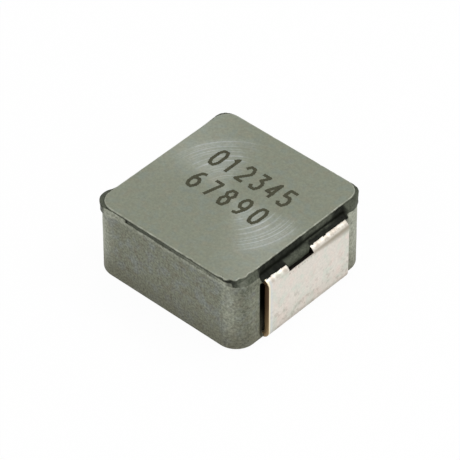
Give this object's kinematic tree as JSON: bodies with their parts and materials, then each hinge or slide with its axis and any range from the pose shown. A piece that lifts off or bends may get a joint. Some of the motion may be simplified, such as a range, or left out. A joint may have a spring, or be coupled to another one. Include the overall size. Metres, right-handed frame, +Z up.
{
  "type": "shielded smd inductor",
  "caption": "Square moulded power inductor for surface mounting: a pressed iron-powder block over a flat-wire coil, with wide tinned copper strips folded down its ends and under it.",
  "frame": {"origin": "on the board's surface, under the middle of the part", "axes": "+Z up from the board through the marked top face; +X out through the end whose terminal the picture shows; +Y the way the tops of the marking's characters point"},
  "size_m": [0.014, 0.013, 0.0062],
  "materials": {
    "powder_block": "satin",
    "enamelled_copper": "gloss",
    "tinned_copper": "satin"
  },
  "bodies": {
    "root": {"moulded_body": "powder_block", "coil": "enamelled_copper", "terminal_right": "tinned_copper", "terminal_left": "tinned_copper"}
  },
  "joints": []
}
